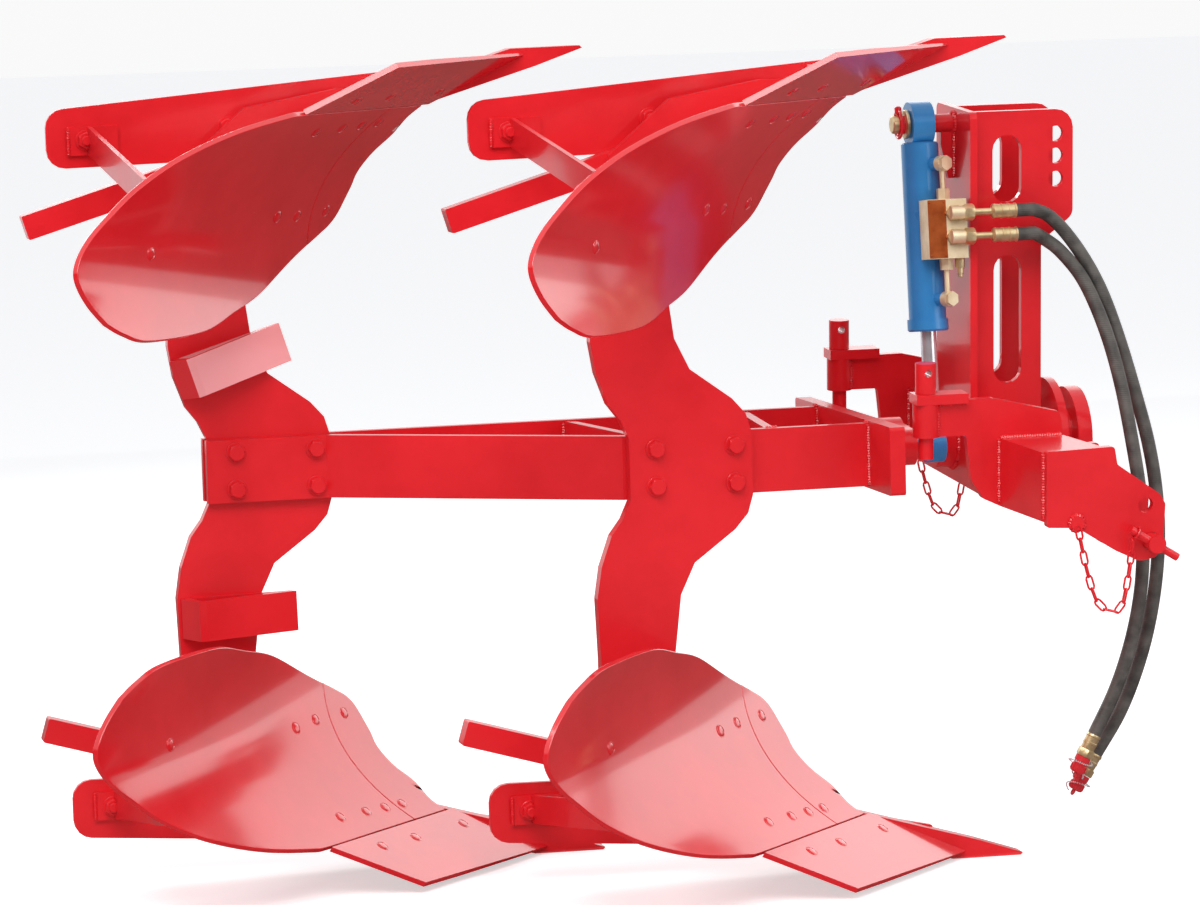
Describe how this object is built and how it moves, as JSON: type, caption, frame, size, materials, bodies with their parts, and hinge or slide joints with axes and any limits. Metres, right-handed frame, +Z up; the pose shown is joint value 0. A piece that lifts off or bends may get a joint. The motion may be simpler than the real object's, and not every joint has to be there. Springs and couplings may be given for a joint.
{
  "type": "two-furrow reversible mouldboard plough",
  "caption": "Mounted reversible plough: a beam with mirrored upper and lower bodies turns under a cylinder on a three-point headstock with mast, stops and link arms.",
  "frame": {"origin": "middle of the bounding box on the ground, hoses and their ends left out", "axes": "+X the way it is drawn, along the turnover axis; +Y to its left; +Z up"},
  "size_m": [1.8014, 1.1815, 1.332],
  "materials": {
    "red_paint": "gloss",
    "dark_red_paint": "satin",
    "blue_paint": "satin",
    "bright_steel": "satin",
    "yellow_zinc": "satin",
    "coupler_caps": "matt",
    "hose_rubber": "matt"
  },
  "bodies": {
    "headstock": {"coupler_lower": "coupler_caps", "coupler_upper": "coupler_caps", "ferrule_lower": "yellow_zinc", "ferrule_upper": "yellow_zinc", "headstock_box": "red_paint", "hose_lower": "hose_rubber", "hose_upper": "hose_rubber", "link_arm_left": "red_paint", "link_arm_right": "red_paint", "link_chain_left": "bright_steel", "link_chain_right": "bright_steel", "link_pin_left": "bright_steel", "link_pin_right": "bright_steel", "mast_back": "red_paint", "mast_left": "red_paint", "mast_right": "red_paint", "stop_carrier_left": "red_paint", "stop_carrier_right": "red_paint", "stop_pin_left": "bright_steel", "stop_pin_right": "bright_steel", "turnover_hub": "dark_red_paint"},
    "plough_frame": {"bar_point_lower_front": "red_paint", "bar_point_lower_rear": "red_paint", "bar_point_upper_front": "red_paint", "bar_point_upper_rear": "red_paint", "beam_left": "red_paint", "beam_right": "red_paint", "bracket_lower": "red_paint", "bracket_upper": "red_paint", "cross_bar_front": "red_paint", "cross_bar_rear": "red_paint", "frog_lower_front": "red_paint", "frog_lower_rear": "red_paint", "frog_upper_front": "red_paint", "frog_upper_rear": "red_paint", "front_cross_plate": "red_paint", "landside_lower_front": "red_paint", "landside_lower_rear": "red_paint", "landside_upper_front": "red_paint", "landside_upper_rear": "red_paint", "mouldboard_lower_front": "red_paint", "mouldboard_lower_rear": "red_paint", "mouldboard_upper_front": "red_paint", "mouldboard_upper_rear": "red_paint", "shank_front": "red_paint", "shank_rear": "red_paint", "share_lower_front": "red_paint", "share_lower_rear": "red_paint", "share_upper_front": "red_paint", "share_upper_rear": "red_paint", "shin_lower_front": "red_paint", "shin_lower_rear": "red_paint", "shin_upper_front": "red_paint", "shin_upper_rear": "red_paint", "turnover_shaft": "bright_steel"},
    "barrel": {"cylinder_barrel": "blue_paint", "valve_block": "yellow_zinc"},
    "rod": {"cylinder_rod": "bright_steel", "rod_eye": "blue_paint"}
  },
  "joints": [
    {"name": "turnover", "type": "hinge", "parent": "headstock", "child": "plough_frame", "pos_m": [0.6414, 0.12875, 0.666], "axis": [-1, 0, 0], "range_deg": [0, 180]},
    {"name": "cylinder_swing", "type": "hinge", "parent": "headstock", "child": "barrel", "pos_m": [0.5784, 0.09311, 1.18879], "axis": [1, 0, 0], "range_deg": [0, 8.75]},
    {"name": "rod_slide", "type": "slide", "parent": "barrel", "child": "rod", "axis": [0, 0.0845, 0.9964], "range_m": [0, 0.0807]}
  ],
  "couplings": [
    {"joint": "cylinder_swing", "follows": "rod_slide", "rad_per_m": 1.8922}
  ]
}
